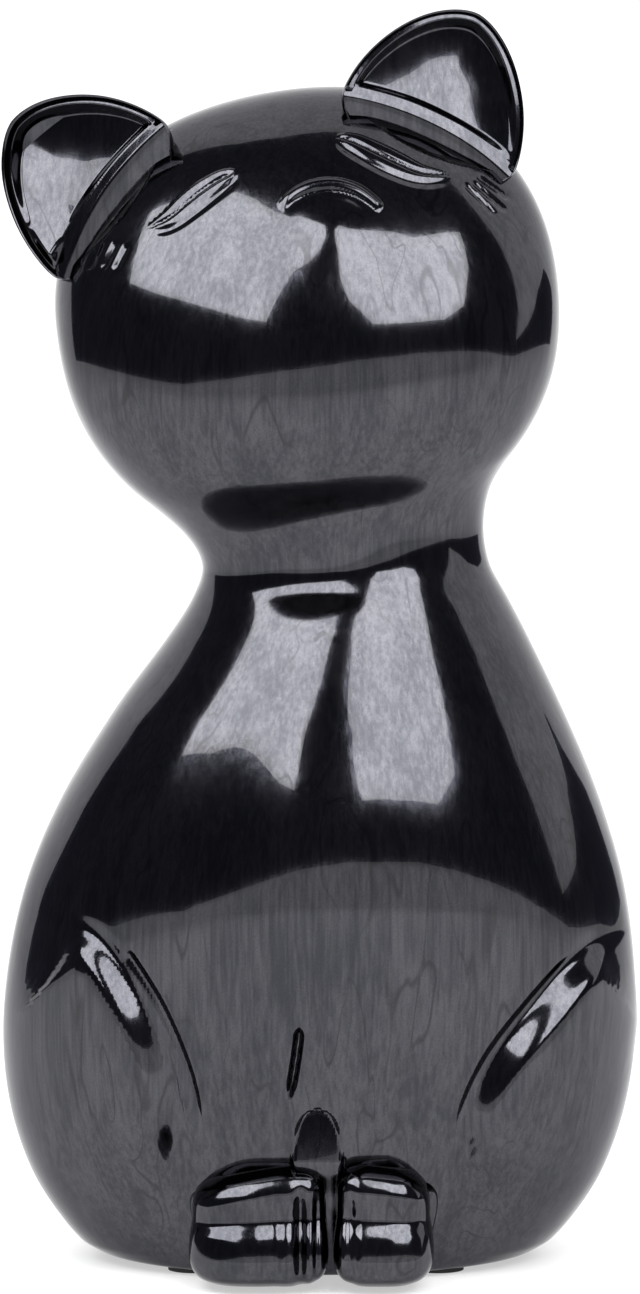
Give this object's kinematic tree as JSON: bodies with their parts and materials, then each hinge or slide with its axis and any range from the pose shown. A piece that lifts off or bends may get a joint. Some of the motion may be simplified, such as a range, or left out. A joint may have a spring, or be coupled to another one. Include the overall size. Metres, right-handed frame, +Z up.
{
  "type": "ceramic cat figurine",
  "caption": "Sitting cat with a round upturned head, closed eyes and dished ears on a pear-shaped hollow body, in dark pearl glaze.",
  "frame": {"origin": "middle of the bounding box on the surface that the figurine stands on", "axes": "+Z up; the cat faces -Y; -X is on the left as seen from the front"},
  "size_m": [0.1424, 0.1283, 0.2804],
  "materials": {
    "glaze": "dark graphite pearl under a clear high gloss",
    "pad_rubber": "matt black"
  },
  "bodies": {
    "root": {"body_casting": "glaze", "head_casting": "glaze", "ear_left": "glaze", "ear_right": "glaze", "paw_left": "glaze", "paw_right": "glaze", "tail": "glaze", "pad_front_left": "pad_rubber", "pad_front_right": "pad_rubber", "pad_back_left": "pad_rubber", "pad_back_right": "pad_rubber"}
  },
  "joints": []
}
